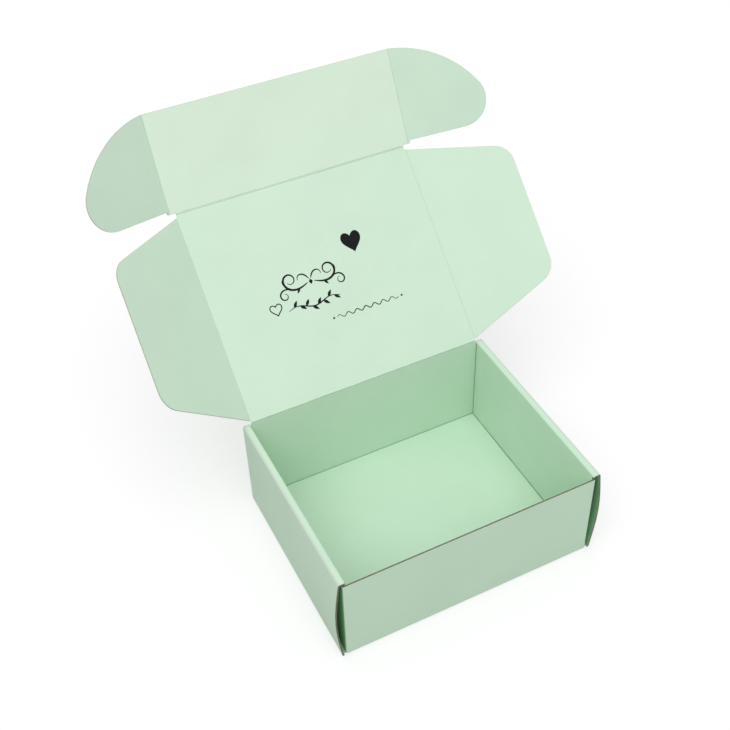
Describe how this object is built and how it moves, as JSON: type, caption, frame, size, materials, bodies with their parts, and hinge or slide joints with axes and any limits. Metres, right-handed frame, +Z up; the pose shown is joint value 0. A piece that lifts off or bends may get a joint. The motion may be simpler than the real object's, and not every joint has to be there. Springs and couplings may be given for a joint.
{
  "type": "mailer box",
  "caption": "Small folded corrugated mailer carton standing open, with rolled double side walls, a hinged lid, dust flaps and a tuck flap with rounded ears.",
  "frame": {"origin": "middle of the underside of the tray, on the surface it stands on", "axes": "+X to the right along the lid's fold, +Y to the back, +Z up"},
  "size_m": [0.397, 0.3848, 0.3214],
  "materials": {
    "tray_board": "matte",
    "lid_board": "matte",
    "flap_board": "matte"
  },
  "bodies": {
    "tray": {"tray": "tray_board"},
    "lid": {"lid_panel": "lid_board"},
    "left_dust": {"dust_flap_left": "flap_board"},
    "right_dust": {"dust_flap_right": "flap_board"},
    "tuck": {"tuck_flap": "lid_board"},
    "left_ear": {"ear_left": "flap_board"},
    "right_ear": {"ear_right": "flap_board"}
  },
  "joints": [
    {"name": "lid_fold", "type": "hinge", "parent": "tray", "child": "lid", "pos_m": [0, 0.0978, 0.1015], "axis": [1, 0, 0], "range_deg": [-43.3, 136.7]},
    {"name": "left_dust_fold", "type": "hinge", "parent": "lid", "child": "left_dust", "pos_m": [-0.11715, 0.0978, 0.1015], "axis": [0, 0.7278, 0.6858], "range_deg": [-35.5, 111.5]},
    {"name": "right_dust_fold", "type": "hinge", "parent": "lid", "child": "right_dust", "pos_m": [0.11715, 0.0978, 0.1015], "axis": [0, -0.7278, -0.6858], "range_deg": [-35.5, 113]},
    {"name": "tuck_fold", "type": "hinge", "parent": "lid", "child": "tuck", "pos_m": [0, 0.24335, 0.23866], "axis": [1, 0, 0], "range_deg": [-19.3, 70.7]},
    {"name": "left_ear_fold", "type": "hinge", "parent": "tuck", "child": "left_ear", "pos_m": [-0.1221, 0.24335, 0.23866], "axis": [0, 0.4602, 0.8878], "range_deg": [-27, 63]},
    {"name": "right_ear_fold", "type": "hinge", "parent": "tuck", "child": "right_ear", "pos_m": [0.1221, 0.24335, 0.23866], "axis": [0, -0.4602, -0.8878], "range_deg": [-19, 71]}
  ],
  "couplings": [
    {"joint": "left_dust_fold", "follows": "lid_fold", "ratio": 0.81},
    {"joint": "right_dust_fold", "follows": "lid_fold", "ratio": 0.81}
  ]
}
